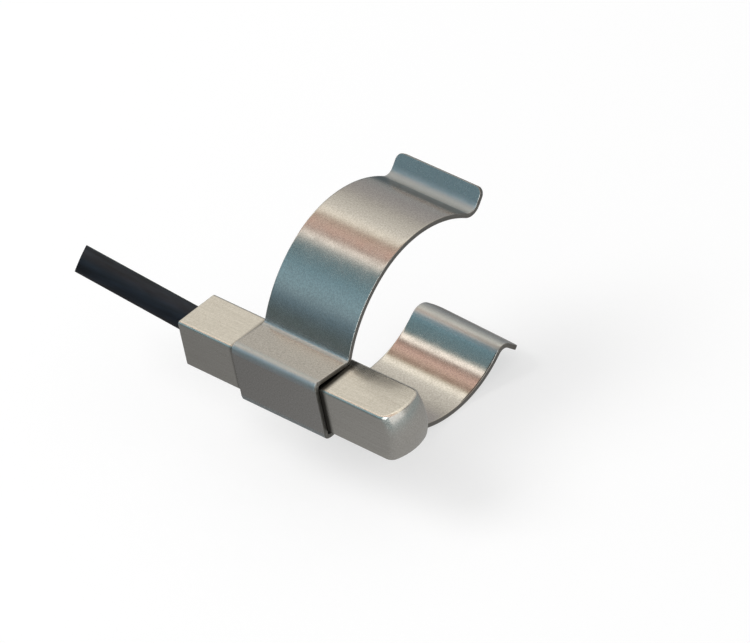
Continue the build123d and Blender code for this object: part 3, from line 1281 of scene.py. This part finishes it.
@dataclass
class Studio:
    """Floor, sky, lamp and camera.

    Attributes:
        floor_height: where the floor lies, in millimetres.
        floor_reach: how far it goes from the middle, in millimetres.
        floor_steps: number of its faces along a side.
        floor_colour: its colour.
        floor_glow: part of its white that camera, mirror and clear rays see as glow.
        sky_light: how much the even sky lights.
        lamp_power: of the soft lamp, in watts.
        lamp_size: width of the lamp, in millimetres.
        lamp_place: where the lamp is, in millimetres.
    """

    floor_height: float
    floor_reach: float = 6000.0
    floor_steps: int = 24
    floor_colour: str = "#ADADAD"
    floor_glow: float = 0.61
    sky_light: float = 0.55
    lamp_power: float = 7.0
    lamp_size: float = 700.0
    lamp_place: tuple[float, float, float] = (-450.0, -500.0, 950.0)

    def seen(self, tree: Tree) -> bpy.types.Node:
        """Tells camera, mirror and clear rays, which see the white background, from the others.

        Args:
            tree: the node tree.

        Returns:
            A node whose output is 1 for those rays and 0 for the others.
        """
        path = add(tree, "ShaderNodeLightPath")
        names = ("Is Camera Ray", "Is Glossy Ray", "Is Transmission Ray")
        camera, mirror, clear = (path.outputs[name] for name in names)
        both = add(tree, "ShaderNodeMath", {0: camera, 1: mirror}, operation="MAXIMUM")
        return add(tree, "ShaderNodeMath", {0: both, 1: clear}, operation="MAXIMUM")

    def floor(self) -> None:
        """Plain pale floor, which keeps the sensor's shadow."""
        side = np.linspace(-self.floor_reach, self.floor_reach, self.floor_steps + 1)
        x, y = np.meshgrid(side, side, indexing="ij")
        points = np.stack([x, y, np.full_like(x, self.floor_height)], axis=-1)
        floor = mesh_object("floor", points, grid_faces(*x.shape)[:, ::-1])
        material, tree = new_tree("pale_floor")
        matt = add(tree, "ShaderNodeBsdfDiffuse", {"Color": linear(self.floor_colour)})
        strength = add(tree, "ShaderNodeMath", {0: self.seen(tree), 1: self.floor_glow}, operation="MULTIPLY")
        glow = add(tree, "ShaderNodeEmission", {"Color": (1, 1, 1, 1), "Strength": strength})
        both = add(tree, "ShaderNodeAddShader", {0: matt, 1: glow})
        add(tree, "ShaderNodeOutputMaterial", {"Surface": both})
        floor.data.materials.append(material)
        floor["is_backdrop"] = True

    def sky(self) -> None:
        """Even white sky."""
        world = bpy.data.worlds.new("even_sky")
        world.use_nodes = True
        tree = world.node_tree
        tree.nodes.clear()
        range_of_light = {"Value": self.seen(tree), "To Min": self.sky_light, "To Max": 1.0}
        strength = add(tree, "ShaderNodeMapRange", range_of_light)
        back = add(tree, "ShaderNodeBackground", {"Color": (1, 1, 1, 1), "Strength": strength})
        add(tree, "ShaderNodeOutputWorld", {"Surface": back})
        bpy.context.scene.world = world

    def lamp(self) -> None:
        """One large soft lamp over the sensor's front left, which the metal doesn't mirror."""
        light = bpy.data.lights.new("soft_lamp", "AREA")
        light.energy = self.lamp_power
        light.size = self.lamp_size * MM
        lamp = bpy.data.objects.new("soft_lamp", light)
        place = Matrix.Translation([value * MM for value in self.lamp_place])
        lamp.matrix_world = place @ place.translation.to_track_quat("Z", "Y").to_matrix().to_4x4()
        lamp.visible_glossy = False
        bpy.context.scene.collection.objects.link(lamp)


@dataclass(frozen=True)
class Viewpoint:
    """Where the photograph was taken from.

    Attributes:
        azimuth, elevation: direction of the camera, in degrees.
        roll: turn about the line of sight, in degrees.
        distance: from the point looked at, in millimetres.
        aim: the point looked at, in millimetres.
        focal: focal length in pixels of the photograph's width.
        width: the photograph's width in pixels.
        film: width of the camera's sensor, in millimetres.
        nearest, farthest: what the camera sees between, in metres.
    """

    azimuth: float = 51.28
    elevation: float = 37.155
    roll: float = -12.095
    distance: float = 949.6
    aim: tuple[float, float, float] = (-0.9, -2.7, -1.34)
    focal: float = 8000.0
    width: int = 750
    film: float = 36.0
    nearest: float = 0.05
    farthest: float = 50.0

    def build(self) -> Piece:
        """Makes the camera and gives it to the scene.

        Its axes are right, up and back: level and upright ones, turned by the roll about the back.

        Returns:
            The camera.
        """
        turn, rise = math.radians(self.azimuth), math.radians(self.elevation)
        back = np.array([math.sin(turn) * math.cos(rise), -math.cos(turn) * math.cos(rise), math.sin(rise)])
        level = np.array([math.cos(turn), math.sin(turn), 0.0])
        upright = np.cross(back, level)
        roll = math.radians(self.roll)
        right = level * math.cos(roll) + upright * math.sin(roll)
        up = np.cross(back, right)
        place = (np.array(self.aim) + back * self.distance) * MM
        data = bpy.data.cameras.new("viewpoint")
        data.sensor_width = self.film
        data.lens = self.focal * self.film / self.width
        data.clip_start, data.clip_end = self.nearest, self.farthest
        camera = bpy.data.objects.new("viewpoint", data)
        stand = np.eye(4)
        stand[:3] = np.column_stack([right, up, back, place])
        camera.matrix_world = Matrix(stand.tolist())
        bpy.context.scene.collection.objects.link(camera)
        bpy.context.scene.camera = camera
        return camera


def main() -> None:
    """Builds the sensor and its studio."""
    logging.basicConfig(level=logging.INFO, format="%(name)s: %(message)s")
    clear_defaults()
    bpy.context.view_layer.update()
    bpy.context.scene.view_settings.view_transform = "Standard"
    Viewpoint().build()
    low, high = (np.array(corner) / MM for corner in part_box("sensor_sleeve"))
    clip = SpringClip(sleeve_height=high[2] - low[2], sleeve_depth=high[1] - low[1])
    clip.build(RolledSpringSteel().build())
    dress("sensor_sleeve", DrawnPlatedSleeve().build())
    dress("cable_jacket", ExtrudedJacket().build())
    InnerParts().dress()
    floor_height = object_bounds()[0][2] / MM
    studio = Studio(floor_height)
    studio.floor()
    studio.sky()
    studio.lamp()
    room = MirroredRoom(floor_height)
    room.tunnel()
    room.table()


if __name__ == "__main__":
    main()
